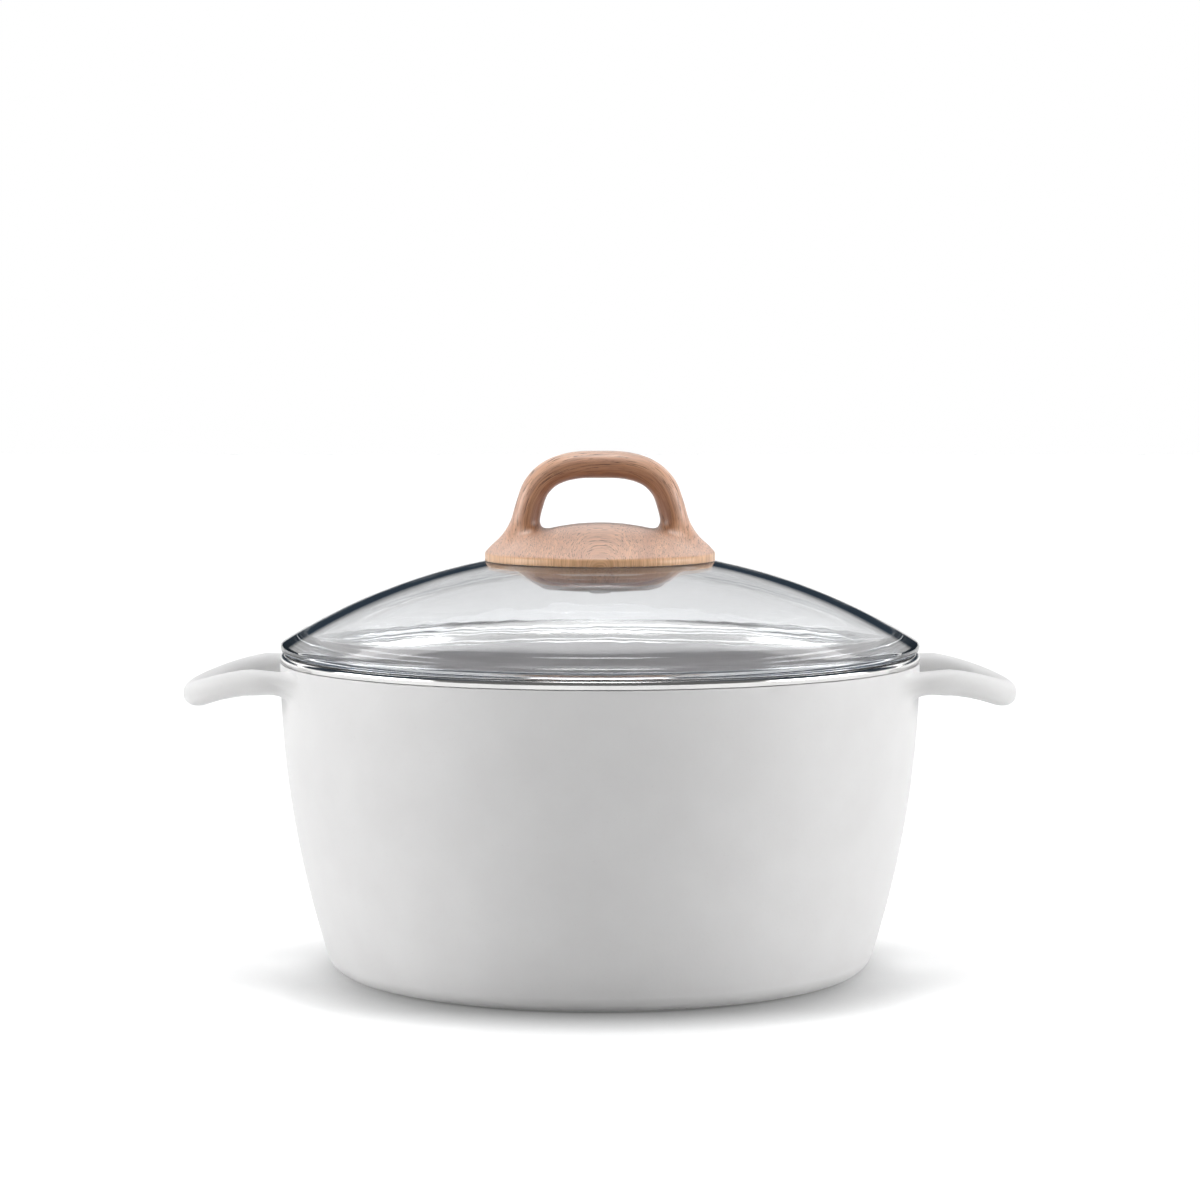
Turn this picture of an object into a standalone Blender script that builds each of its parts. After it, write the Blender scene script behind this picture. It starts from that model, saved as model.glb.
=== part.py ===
"""Round cooking pot with two cast loop ears, a domed glass lid and a wooden loop handle.

The pot is one casting, standing on z = 0 with its axis on Z and its ears along X. The lid is
pressed glass: its flange rests on the pot's lip, a skirt under it drops inside the rim, and a
well in its middle takes the foot of the handle. A screw from below clamps handle and glass.
Lengths are in metres. Pieces that touch in the real object keep GAP between their meshes.
"""

import math

import bmesh
import bpy
from mathutils import Matrix, Vector

GAP = 0.0003
SEGMENTS = 48          # round the pot and the lid
FOOT_SEGMENTS = 40
SMALL_SEGMENTS = 20    # round the washers, the screw and the insert
MERGE = 0.000005       # joins the seam of a full turn

# Pot
RIM_R = 0.1250
RIM_Z = 0.1240
WALL_T = 0.0035
WALL_DROP = 0.0179     # how much the wall narrows from rim to base corner
WALL_POWER = 2.05
CORNER_H = 0.0060      # base corner, height and width
CORNER_W = 0.0059
CORNER_POWER = 1.5
FLOOR_T = 0.0050
FLOOR_FILLET = 0.0120
BASE_RECESS_R = 0.0780
BASE_RECESS_H = 0.0015

# Cast ears: a bowed bar with a blunt tip, whose middle hangs lower than its ends
EAR_TIP_X = 0.1573     # centre line, the bar is EAR_HALF_W to each side
EAR_ROOT_X = 0.1175
EAR_ROOT_Y = 0.0425
EAR_BOW_POWER = 3.0    # the centre line falls back from the tip with this power of y
EAR_HALF_W = 0.0055
EAR_HALF_H = 0.0050
EAR_Z = 0.1155
EAR_SAG = 7.0          # drop of the centre line per metre squared past the rim
EAR_FLARE_L = 0.0068   # the roots widen over this length of y, by this much each way
EAR_FLARE_W = 0.0050
EAR_FLARE_H = 0.0026
EAR_FLARE_POWER = 2.2
EAR_EMBED_R = 0.1232   # the root ends on this cylinder, inside the wall

# Glass lid
DOME_R = 0.2350
DOME_TOP = 0.16365
GLASS_T = 0.0040
FLANGE_R = 0.0022      # rounded edge of the flange
FLANGE_EDGE_R = 0.12385
SKIRT_R = 0.1204
SKIRT_T = 0.0032
SKIRT_Z = 0.1188
SKIRT_TOP_R = 0.1135   # where the inner sphere of the dome starts
SKIRT_FILLET = 0.0008  # outside, under the flange
SKIRT_SHOULDER = 0.0010  # inside, above the flange's seat
WELL_TOP_Z = 0.1513    # floor of the well, upper face
WELL_R = (0.0170, 0.0385)
WELL_LOW_Z = 0.1475    # the same floor, lower face
WELL_LOW_R = (0.0192, 0.0404)
GLASS_HOLE_R = 0.0045
COUNTERBORE_R = 0.0102
COUNTERBORE_H = 0.0020

# Wooden handle
FOOT_R = 0.0450
FOOT_EDGE_Z = 0.1626   # where the crown starts, above the plain edge band
FOOT_SOFT = 0.0005     # worn corners of the edge band
FOOT_TOP = 0.1743
FOOT_BOTTOM = 0.1529
FOOT_LIFT = 0.0005     # air between the foot's hollow and the glass
FOOT_HOLLOW_R = (0.0150, 0.0410)
LOOP_TOP = 0.2024
BAR_HALF_T = 0.0053    # half the bar's thickness
LOOP_DEPTH = 0.0070    # half the bar's width along Y
INSERT_BORE_R = 0.0049
INSERT_BORE_TOP = 0.1656

# Fasteners and seals
SHANK_R = 0.0024
SHANK_HOLE_R = 0.0027
SHANK_TOP = 0.1636
SHANK_CHAMFER = 0.0006
HEAD_R = 0.0045
HEAD_H = 0.0014
DRIVE_SLOT = (0.0050, 0.0009, 0.0016)
PLATE_T = 0.0009
PLATE_HOLE_R = 0.0040
PLATE_RINGS = ((6, 0.026), (12, 0.052))
GASKET_R = 0.0155
GROMMET_R = 0.0098
GROMMET_T = 0.0007
WASHER_R = 0.0092
WASHER_T = 0.0006
WASHER_Z = 0.1477


def clear_scene():
    for obj in list(bpy.data.objects):
        bpy.data.objects.remove(obj, do_unlink=True)


def material(name, colour, roughness, metallic=0.0, transmission=0.0):
    mat = bpy.data.materials.new(name)
    mat.use_nodes = True
    shader = mat.node_tree.nodes["Principled BSDF"]
    shader.inputs["Base Color"].default_value = (*colour, 1.0)
    shader.inputs["Roughness"].default_value = roughness
    shader.inputs["Metallic"].default_value = metallic
    shader.inputs["Transmission Weight"].default_value = transmission
    mat.diffuse_color = (*colour, 1.0)
    return mat


def new_object(name, bm, mat):
    """Closes bm into a smooth-shaded object whose faces point out."""
    bmesh.ops.remove_doubles(bm, verts=bm.verts, dist=MERGE)
    bmesh.ops.recalc_face_normals(bm, faces=bm.faces)
    mesh = bpy.data.meshes.new(name)
    bm.to_mesh(mesh)
    bm.free()
    mesh.shade_smooth()
    mesh.set_sharp_from_angle(angle=math.radians(35))
    obj = bpy.data.objects.new(name, mesh)
    bpy.context.scene.collection.objects.link(obj)
    if mat:
        mesh.materials.append(mat)
    return obj


def arc(centre, radius, start, end, steps):
    """Points (r, z) on an arc, angles in degrees, both ends included."""
    points = []
    for i in range(steps + 1):
        angle = math.radians(start + (end - start) * i / steps)
        points.append((centre[0] + radius * math.cos(angle), centre[1] + radius * math.sin(angle)))
    return points


def turned(profile, segments, closed=False):
    """Spins an (r, z) outline once round Z. An open outline starts and ends on the axis."""
    bm = bmesh.new()
    verts = [bm.verts.new((r, 0.0, z)) for r, z in profile]
    edges = [bm.edges.new(pair) for pair in zip(verts, verts[1:])]
    if closed:
        edges.append(bm.edges.new((verts[-1], verts[0])))
    bmesh.ops.spin(bm, geom=verts + edges, cent=(0, 0, 0), axis=(0, 0, 1),
                   angle=math.tau, steps=segments, use_duplicate=False)
    bmesh.ops.remove_doubles(bm, verts=bm.verts, dist=MERGE)
    return bm


def loft(rings):
    """A closed skin over rings of equal length, with flat caps."""
    bm = bmesh.new()
    rows = [[bm.verts.new(p) for p in ring] for ring in rings]
    count = len(rows[0])
    for low, high in zip(rows, rows[1:]):
        for i in range(count):
            j = (i + 1) % count
            bm.faces.new((low[i], low[j], high[j], high[i]))
    bm.faces.new(rows[0])
    bm.faces.new(reversed(rows[-1]))
    return bm


def boolean(obj, tool, operation):
    """Unites obj with tool, or cuts tool out of it, and drops the tool."""
    modifier = obj.modifiers.new(operation.lower(), "BOOLEAN")
    modifier.operation = operation
    modifier.object = tool
    modifier.solver = "EXACT"
    depsgraph = bpy.context.evaluated_depsgraph_get()
    result = bpy.data.meshes.new_from_object(obj.evaluated_get(depsgraph))
    obj.modifiers.clear()
    obj.data = result
    bpy.data.objects.remove(tool, do_unlink=True)


def smoothstep(t):
    t = min(max(t, 0.0), 1.0)
    return t * t * (3.0 - 2.0 * t)


def mix(a, b, t):
    return a + (b - a) * t


# ---- pot ----

def wall_radius(z):
    """Outer radius of the pot's wall above its base corner."""
    depth = (RIM_Z - z) / (RIM_Z - CORNER_H)
    return RIM_R - WALL_DROP * max(depth, 0.0) ** WALL_POWER


def base_corner(steps=4):
    """Outline of the rounded corner, from the base up to the wall."""
    foot = wall_radius(CORNER_H) - CORNER_W
    points = []
    for i in range(steps + 1):
        angle = math.radians(90.0 * (1.0 - i / steps))
        out = max(math.cos(angle), 0.0) ** (2.0 / CORNER_POWER)
        down = max(math.sin(angle), 0.0) ** (2.0 / CORNER_POWER)
        points.append((foot + CORNER_W * out, CORNER_H * (1.0 - down)))
    return points


def pot_profile():
    lip_r = WALL_T / 2
    lip_z = RIM_Z - lip_r
    fillet_z = FLOOR_T + FLOOR_FILLET
    outer_z = [mix(CORNER_H, lip_z, (i + 1) / 8) for i in range(7)]
    inner_z = [mix(lip_z, fillet_z, (i + 1) / 6) for i in range(6)]
    inner_foot = wall_radius(fillet_z) - WALL_T
    profile = [(0.0, BASE_RECESS_H), (BASE_RECESS_R, BASE_RECESS_H), (BASE_RECESS_R, 0.0)]
    profile += base_corner()
    profile += [(wall_radius(z), z) for z in outer_z]
    profile += arc((RIM_R - lip_r, lip_z), lip_r, 0, 180, 4)
    profile += [(wall_radius(z) - WALL_T, z) for z in inner_z]
    profile += arc((inner_foot - FLOOR_FILLET, fillet_z), FLOOR_FILLET, 0, -90, 3)[1:]
    profile.append((0.0, FLOOR_T))
    return profile


def ear_ring(y, side, points=12):
    """Section of the ear's bar where its centre line passes y; side is +1 or -1 along X."""
    bow = (EAR_TIP_X - EAR_ROOT_X) * (abs(y) / EAR_ROOT_Y) ** EAR_BOW_POWER
    x = EAR_TIP_X - bow
    slope = -EAR_BOW_POWER * bow / y if y else 0.0
    tangent = Vector((slope, 1.0, 0.0)).normalized()
    across = Vector((tangent.y, -tangent.x, 0.0))
    to_root = EAR_ROOT_Y - abs(y)
    flare = max(1.0 - to_root / EAR_FLARE_L, 0.0) ** EAR_FLARE_POWER
    half_w = EAR_HALF_W + EAR_FLARE_W * flare
    half_h = EAR_HALF_H + EAR_FLARE_H * flare
    centre_z = EAR_Z - EAR_SAG * (x - RIM_R) ** 2 - EAR_FLARE_H * flare
    seat = smoothstep(1.0 - to_root / EAR_FLARE_L)
    ring = []
    for i in range(points):
        angle = math.tau * i / points
        p = Vector((x, y, centre_z)) + across * half_w * math.cos(angle)
        p.z += half_h * math.sin(angle)
        on_wall = math.sqrt(EAR_EMBED_R ** 2 - p.y ** 2)
        p.x = side * mix(p.x, on_wall, seat)
        ring.append(p)
    return ring


def ear(side, steps=26):
    """One loop ear, from root to root, with rings closer together where it flares."""
    rings = []
    for i in range(steps + 1):
        t = 2.0 * i / steps - 1.0
        rings.append(ear_ring(EAR_ROOT_Y * math.sin(math.pi / 2 * t), side))
    return loft(rings)


def make_pot(mat):
    pot = new_object("pot_body", turned(pot_profile(), SEGMENTS), mat)
    for side in (1, -1):
        boolean(pot, new_object("ear_tool", ear(side), None), "UNION")
    return pot


def make_induction_plate(mat):
    """Thin perforated disc in the recess of the base."""
    top = BASE_RECESS_H - GAP
    radius = BASE_RECESS_R - GAP
    outline = [(0.0, top - PLATE_T), (radius, top - PLATE_T), (radius, top), (0.0, top)]
    plate = new_object("induction_plate", turned(outline, SEGMENTS), mat)
    for count, ring_r in PLATE_RINGS:
        for i in range(count):
            angle = math.tau * i / count
            hole = bmesh.new()
            bmesh.ops.create_cone(hole, cap_ends=True, segments=8, radius1=PLATE_HOLE_R,
                                  radius2=PLATE_HOLE_R, depth=4 * PLATE_T)
            where = Vector((ring_r * math.cos(angle), ring_r * math.sin(angle), top - PLATE_T / 2))
            bmesh.ops.translate(hole, verts=hole.verts, vec=where)
            boolean(plate, new_object("hole_tool", hole, None), "DIFFERENCE")
    return plate


# ---- lid ----

def dome_z(r, radius):
    """Height of the dome's outer or inner sphere at r."""
    return DOME_TOP - DOME_R + math.sqrt(radius * radius - r * r)


def well_z(r, floor_z, span, radius):
    """Height of the glass where the dome sinks into the well."""
    return mix(floor_z, dome_z(r, radius), smoothstep((r - span[0]) / (span[1] - span[0])))


def lid_profile():
    top_r = [mix(WELL_R[0], WELL_R[1], i / 5) for i in range(6)]
    top_r += [mix(WELL_R[1], FLANGE_EDGE_R, i / 6) for i in range(1, 6)]
    low_r = [mix(SKIRT_TOP_R, WELL_LOW_R[1], i / 5) for i in range(6)]
    low_r += [mix(WELL_LOW_R[1], WELL_LOW_R[0], i / 5) for i in range(1, 6)]
    slope = math.asin(FLANGE_EDGE_R / DOME_R)
    edge = (FLANGE_EDGE_R - FLANGE_R * math.sin(slope),
            dome_z(FLANGE_EDGE_R, DOME_R) - FLANGE_R * math.cos(slope))
    seat_z = edge[1] - FLANGE_R
    skirt_r = SKIRT_T / 2
    profile = [(GLASS_HOLE_R, WELL_TOP_Z)]
    profile += [(r, well_z(r, WELL_TOP_Z, WELL_R, DOME_R)) for r in top_r]
    profile += arc(edge, FLANGE_R, 90.0 - math.degrees(slope), -90.0, 4)
    profile.append((SKIRT_R + SKIRT_FILLET, seat_z))
    profile.append((SKIRT_R, seat_z - SKIRT_FILLET))
    profile += arc((SKIRT_R - skirt_r, SKIRT_Z + skirt_r), skirt_r, 0.0, -180.0, 3)
    profile.append((SKIRT_R - SKIRT_T, seat_z + SKIRT_SHOULDER))
    profile += [(r, well_z(r, WELL_LOW_Z, WELL_LOW_R, DOME_R - GLASS_T)) for r in low_r]
    profile.append((COUNTERBORE_R, WELL_LOW_Z))
    profile.append((COUNTERBORE_R, WELL_LOW_Z + COUNTERBORE_H))
    profile.append((GLASS_HOLE_R, WELL_LOW_Z + COUNTERBORE_H))
    return profile


def foot_profile():
    """The handle's round foot: crowned on top, hollowed below to fit the dome and the well."""
    edge_low = dome_z(FOOT_R, DOME_R) + FOOT_LIFT
    crown_r = FOOT_R - FOOT_SOFT
    profile = [(0.0, INSERT_BORE_TOP), (INSERT_BORE_R, INSERT_BORE_TOP)]
    for r in [INSERT_BORE_R] + [mix(*FOOT_HOLLOW_R, i / 7) for i in range(8)]:
        low = well_z(r, WELL_TOP_Z, WELL_R, DOME_R) + FOOT_LIFT
        profile.append((r, max(low, FOOT_BOTTOM)))
    profile += [(crown_r, edge_low), (FOOT_R, edge_low + FOOT_SOFT)]
    profile += [(FOOT_R, FOOT_EDGE_Z - FOOT_SOFT), (crown_r, FOOT_EDGE_Z)]
    for i in range(1, 8):
        r = crown_r * (1.0 - i / 8)
        profile.append((r, mix(FOOT_TOP, FOOT_EDGE_Z, (r / FOOT_R) ** 2)))
    profile.append((0.0, FOOT_TOP))
    return profile


def loop_path():
    """Half of the loop's centre line in XZ, from the middle of the bar to the end of a leg.

    Each entry is x, z, half the thickness across the path and half the depth along Y.
    """
    top = LOOP_TOP - BAR_HALF_T
    return [
        (0.0000, top, BAR_HALF_T, LOOP_DEPTH),
        (0.0055, top - 0.0001, BAR_HALF_T, LOOP_DEPTH),
        (0.0105, top - 0.0005, BAR_HALF_T, LOOP_DEPTH),
        (0.0150, top - 0.0015, BAR_HALF_T, LOOP_DEPTH),
        (0.0190, top - 0.0033, BAR_HALF_T, LOOP_DEPTH),
        (0.0222, top - 0.0056, BAR_HALF_T, LOOP_DEPTH),
        (0.0247, top - 0.0086, BAR_HALF_T, LOOP_DEPTH),
        (0.0264, top - 0.0120, BAR_HALF_T, LOOP_DEPTH),
        (0.0275, top - 0.0155, BAR_HALF_T, LOOP_DEPTH),
        (0.0285, top - 0.0195, 0.0054, 0.0074),
        (0.0296, top - 0.0235, 0.0058, 0.0080),
        (0.0307, top - 0.0270, 0.0068, 0.0090),
        (0.0318, top - 0.0300, 0.0080, 0.0105),
        (0.0325, top - 0.0325, 0.0090, 0.0120),
        (0.0325, top - 0.0350, 0.0080, 0.0120),
    ]


def loop_ring(here, before, after, points=12):
    """Oval section square to the path at here."""
    tangent = Vector((after[0] - before[0], 0.0, after[1] - before[1])).normalized()
    across = Vector((-tangent.z, 0.0, tangent.x))
    ring = []
    for i in range(points):
        angle = math.tau * i / points
        p = Vector((here[0], 0.0, here[1])) + across * here[2] * math.cos(angle)
        p.y = here[3] * math.sin(angle)
        ring.append(p)
    return ring


def loop():
    half = loop_path()
    mirrored = [(-x, z, a, b) for x, z, a, b in reversed(half[1:])]
    path = mirrored + half
    rings = []
    for i, here in enumerate(path):
        before = path[max(i - 1, 0)]
        after = path[min(i + 1, len(path) - 1)]
        rings.append(loop_ring(here, before, after))
    return loft(rings)


def make_handle(mat):
    handle = new_object("lid_handle", turned(foot_profile(), FOOT_SEGMENTS), mat)
    boolean(handle, new_object("loop_tool", loop(), None), "UNION")
    return handle


def make_ring(name, mat, inner, outer, low, high):
    """A washer or sleeve with square edges."""
    outline = [(inner, low), (outer, low), (outer, high), (inner, high)]
    return new_object(name, turned(outline, SMALL_SEGMENTS, closed=True), mat)


def make_grommet(mat):
    """Flat silicone washer in the counterbore, with a sleeve up through the glass hole."""
    top = WELL_LOW_Z + COUNTERBORE_H - GAP
    low = top - GROMMET_T
    sleeve = GLASS_HOLE_R - GAP
    outline = [(SHANK_HOLE_R, low), (GROMMET_R, low), (GROMMET_R, top),
               (sleeve, top), (sleeve, WELL_TOP_Z - GAP), (SHANK_HOLE_R, WELL_TOP_Z - GAP)]
    return new_object("screw_grommet", turned(outline, SMALL_SEGMENTS, closed=True), mat)


def make_screw(mat, head_top):
    """Low domed head with a cross slot, and a plain shank."""
    low = head_top - HEAD_H
    profile = [(0.0, low), (HEAD_R * 0.55, low + HEAD_H * 0.07), (HEAD_R * 0.9, low + HEAD_H * 0.35)]
    profile += [(HEAD_R, low + HEAD_H * 0.65), (HEAD_R, head_top), (SHANK_R, head_top)]
    profile += [(SHANK_R, SHANK_TOP - 2 * SHANK_CHAMFER), (SHANK_R - SHANK_CHAMFER, SHANK_TOP)]
    profile.append((0.0, SHANK_TOP))
    screw = new_object("lid_screw", turned(profile, SMALL_SEGMENTS), mat)
    for turn in (0.0, math.pi / 2):
        slot = bmesh.new()
        bmesh.ops.create_cube(slot, size=1.0)
        bmesh.ops.scale(slot, verts=slot.verts, vec=DRIVE_SLOT)
        bmesh.ops.rotate(slot, verts=slot.verts, cent=(0, 0, 0),
                         matrix=Matrix.Rotation(turn, 3, "Z"))
        bmesh.ops.translate(slot, verts=slot.verts, vec=(0, 0, low))
        boolean(screw, new_object("slot_tool", slot, None), "DIFFERENCE")
    return screw


def make_lid():
    """The lid and everything fastened to it, under one empty on the lifting axis."""
    lid = bpy.data.objects.new("lid_frame", None)
    lid.location = (0.0, 0.0, RIM_Z)
    bpy.context.scene.collection.objects.link(lid)
    silicone = material("clear_silicone", (0.72, 0.72, 0.70), 0.5)
    steel = material("stainless_steel", (0.62, 0.61, 0.60), 0.28, metallic=1.0)
    pieces = [
        new_object("glass_lid", turned(lid_profile(), SEGMENTS, closed=True),
                   material("clear_glass", (0.93, 0.97, 0.97), 0.02, transmission=1.0)),
        make_handle(material("beech", (0.62, 0.38, 0.24), 0.45)),
        make_ring("threaded_insert", material("brass", (0.78, 0.58, 0.28), 0.3, metallic=1.0),
                  SHANK_HOLE_R, INSERT_BORE_R - GAP, FOOT_BOTTOM + GAP, INSERT_BORE_TOP - GAP),
        make_ring("handle_gasket", silicone,
                  GLASS_HOLE_R, GASKET_R, WELL_TOP_Z + GAP, FOOT_BOTTOM - GAP),
        make_grommet(silicone),
        make_ring("screw_washer", steel, SHANK_HOLE_R, WASHER_R, WASHER_Z, WASHER_Z + WASHER_T),
        make_screw(steel, WASHER_Z - GAP),
    ]
    for piece in pieces:
        piece.parent = lid
        piece.matrix_parent_inverse = Matrix.Translation(lid.location).inverted()


def main():
    clear_scene()
    make_pot(material("ceramic_coat", (0.80, 0.79, 0.78), 0.35))
    make_induction_plate(material("base_steel", (0.55, 0.55, 0.55), 0.35, metallic=1.0))
    make_lid()


main()
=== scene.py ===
"""Looks for the cooking pot: smooth cast body and ears, polished lip, glass lid, beech handle.

Everything is in metres in the frame's own axes: Z up from the surface the pot stands on, the
ears and the handle's bar along X. Round pieces are turned from the same sizes as the frame.
"""

import math

import bmesh
import bpy
import numpy as np
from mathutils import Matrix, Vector


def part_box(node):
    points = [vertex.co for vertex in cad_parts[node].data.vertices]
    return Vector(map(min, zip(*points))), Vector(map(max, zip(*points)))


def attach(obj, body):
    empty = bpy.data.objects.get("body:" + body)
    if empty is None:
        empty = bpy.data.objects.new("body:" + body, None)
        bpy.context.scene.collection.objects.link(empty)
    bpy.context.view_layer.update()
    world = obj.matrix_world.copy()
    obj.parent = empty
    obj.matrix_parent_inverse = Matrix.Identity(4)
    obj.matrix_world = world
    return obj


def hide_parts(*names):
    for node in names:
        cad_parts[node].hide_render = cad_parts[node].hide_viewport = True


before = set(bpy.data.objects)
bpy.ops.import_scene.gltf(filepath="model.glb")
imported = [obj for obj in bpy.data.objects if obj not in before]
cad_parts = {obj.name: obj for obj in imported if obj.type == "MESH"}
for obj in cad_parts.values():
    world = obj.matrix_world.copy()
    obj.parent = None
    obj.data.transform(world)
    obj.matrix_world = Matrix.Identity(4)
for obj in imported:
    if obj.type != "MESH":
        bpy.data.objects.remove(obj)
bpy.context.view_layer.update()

# ---- sizes, from the frame where it has them ----

POT_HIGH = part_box("pot_body")[1]
GLASS_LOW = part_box("glass_lid")[0]
WOOD_LOW, WOOD_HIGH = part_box("lid_handle")

RIM_R = POT_HIGH.y
RIM_Z = POT_HIGH.z
WALL_T = 0.0035
WALL_DROP = 0.0179
WALL_POWER = 2.05
CORNER_H = 0.0060
CORNER_W = 0.0059
CORNER_POWER = 1.5
FLOOR_T = 0.0050
FLOOR_FILLET = 0.0120
RECESS_R = 0.0780
RECESS_H = 0.0015
RECESS_CHAMFER = 0.0003
COAT_SOFT = 0.00025        # rounded edge of the coat below the bare band
LIP_H = 0.0033             # height of the bare metal band
LIP_GAP = 0.00020          # between the coat's edge and the bare band
LIP_SOFT = 0.0004          # worn lower edge of the bare band

EAR_TIP_X = 0.1573
EAR_ROOT = (0.1175, 0.0425)
EAR_BOW_POWER = 3.0        # the centre line falls back from the tip with this power of y
EAR_HALF_W = 0.0055
EAR_HALF_H = 0.0050
EAR_SQUARE = 2.3           # power of the section's outline, 2 is an ellipse
EAR_Z = 0.1155
EAR_SAG = 7.0
EAR_BLEND_Y = 0.0355       # where the bar's plain section ends and its root starts
EAR_FOOT_TURN = 0.3425     # where the root meets the wall: its turn from X, middle and half sizes
EAR_FOOT_Z = 0.1124
EAR_FOOT_HALF_UP = 0.0078
EAR_FOOT_HALF_ROUND = 0.0150

DOME_R = 0.2350
DOME_TOP = 0.16365
GLASS_T = 0.0040
FLANGE_R = 0.0022
FLANGE_EDGE_R = 0.12385
SKIRT_R = 0.1204
SKIRT_T = 0.0032
SKIRT_Z = GLASS_LOW.z
SKIRT_TOP_R = 0.1135
WELL_TOP_Z = 0.1513
WELL_R = (0.0170, 0.0385)
WELL_LOW_Z = 0.1475
WELL_LOW_R = (0.0192, 0.0404)
GLASS_HOLE_R = 0.0045
COUNTERBORE_R = 0.0102
COUNTERBORE_H = 0.0020
HOLE_CHAMFER = 0.0002
SKIRT_CORNER = 0.0008      # fillet between the skirt and the flange's seat
SHOULDER_DROP = 0.0015     # how far below the seat the curve into the dome starts
SHOULDER_PULL = (0.0025, 0.0022)   # pull of that curve at its start and its end

FOOT_R = WOOD_HIGH.x
FOOT_EDGE_Z = 0.1626       # where the crown starts, above the plain edge band
FOOT_TOP = 0.1743
FOOT_BOTTOM = WOOD_LOW.z
FOOT_LIFT = 0.0002          # air between the foot and the glass
LOOP_TOP = WOOD_HIGH.z
BAR_HALF_T = 0.0053        # half the loop's thickness, and half its depth along Y
BAR_HALF_DEPTH = 0.0070
INSERT_BORE_R = 0.0049
INSERT_BORE_TOP = 0.1656

# The wood's growth rings are squarish arches round an axis along Y. Ring 1 runs along the middle
# of the loop: GRAIN_HALF is its reach from the axis in X and in Z.
GRAIN_CENTRE_Z = 0.1580
GRAIN_HALF = (0.0299, 0.0390)
GRAIN_POWER = 3.0
GRAIN_DRIFT = 0.10         # how far the rings wander

# ---- studio settings ----

CAMERA_LENS = 109.0
CAMERA_PLACE = (0.0, -1.420, 0.2486)
CAMERA_TILT = math.radians(4.215)

DARK = 0.05
DARK_TINT = (0.60, 0.86, 1.18)
SIDE_LIGHT = 8.0
SIDE_TURN = math.radians(5.0)        # how far the side lights come round to the front
SIDE_EDGE = (0.90, 0.97)             # cosine of the turn from the side, where the light fades in
SIDE_Z = (0.25, 0.38)                # a Z here is the sine of the height angle in the sky
WALL_LIGHT = 1.0
WALL_Z = (0.03, 0.07)
BACK_LIGHT = (0.7, 1.4)              # straight behind, and towards the sides
BACK_X = (0.15, 0.45)                # where the first of these turns into the second
BACK_Z = (0.21, 0.90)
BACK_BOW = 1.5                       # its upper edge and the strip dip towards the sides
STRIP_LIGHT = (3.0, 2.2)             # the brighter top edge of the back light, in two steps
STRIP_Z = (0.785, 0.845)
FRONT_LIGHT = 0.15
TOP_LIGHT = 12.0
TOP_Z = (0.962, 0.988)
FLOOR_SEEN = (0.95, 0.95, 0.95)
FLOOR_BOUNCE = (0.67, 0.67, 0.67)
FLOOR_LIFT = 0.14                    # opens up the floor's shadows
CONTACT_REACH = 0.042                # width of the soft contact shadow on the floor
CONTACT_Y = (-0.10, -0.03)           # it is full in front of the first Y and faint past the second
CONTACT_DEPTH = (1.2, 0.1)
CONTACT_TONE = (0.04, 0.04, 0.04)


# ---- mesh helpers ----

def smoothstep(t):
    t = np.clip(t, 0.0, 1.0)
    return t * t * (3.0 - 2.0 * t)


def mix(a, b, t):
    return a + (b - a) * t


def arc(centre, radius, start, end, steps):
    """Points (r, z) on an arc, angles in degrees, both ends included."""
    angles = np.radians(np.linspace(start, end, steps + 1))
    return [(centre[0] + radius * math.cos(a), centre[1] + radius * math.sin(a)) for a in angles]


def mesh_object(name, points, faces, sharp_deg=35.0):
    mesh = bpy.data.meshes.new(name)
    mesh.from_pydata([tuple(map(float, p)) for p in points], [], faces)
    mesh.update()
    mesh.shade_smooth()
    mesh.set_sharp_from_angle(angle=math.radians(sharp_deg))
    obj = bpy.data.objects.new(name, mesh)
    bpy.context.scene.collection.objects.link(obj)
    return obj


def turned(name, profile, segments=256, closed=False):
    """Turns an (r, z) outline round Z. An open outline starts and ends on the axis."""
    points, faces, rows = [], [], []
    for r, z in profile:
        if r < 1e-9:
            rows.append([len(points)])
            points.append((0.0, 0.0, z))
            continue
        rows.append(list(range(len(points), len(points) + segments)))
        for i in range(segments):
            angle = math.tau * i / segments
            points.append((r * math.cos(angle), r * math.sin(angle), z))
    pairs = list(zip(rows, rows[1:]))
    if closed:
        pairs.append((rows[-1], rows[0]))
    for low, high in pairs:
        for i in range(segments):
            j = (i + 1) % segments
            quad = [low[i % len(low)], low[j % len(low)], high[j % len(high)], high[i % len(high)]]
            face = list(dict.fromkeys(quad))
            if len(face) > 2:
                faces.append(face)
    obj = mesh_object(name, points, faces)
    face_out(obj)
    return obj


def face_out(obj):
    bm = bmesh.new()
    bm.from_mesh(obj.data)
    bmesh.ops.recalc_face_normals(bm, faces=bm.faces)
    bm.to_mesh(obj.data)
    bm.free()


def loft(rings):
    """Points and faces of a closed skin over rings of equal length."""
    count = len(rings[0])
    points = [p for ring in rings for p in ring]
    faces = []
    for k in range(len(rings) - 1):
        for i in range(count):
            j = (i + 1) % count
            a, b = k * count, (k + 1) * count
            faces.append([a + i, a + j, b + j, b + i])
    faces.append(list(range(count)))
    faces.append(list(reversed(range((len(rings) - 1) * count, len(rings) * count))))
    return points, faces


# ---- node helpers ----

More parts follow.
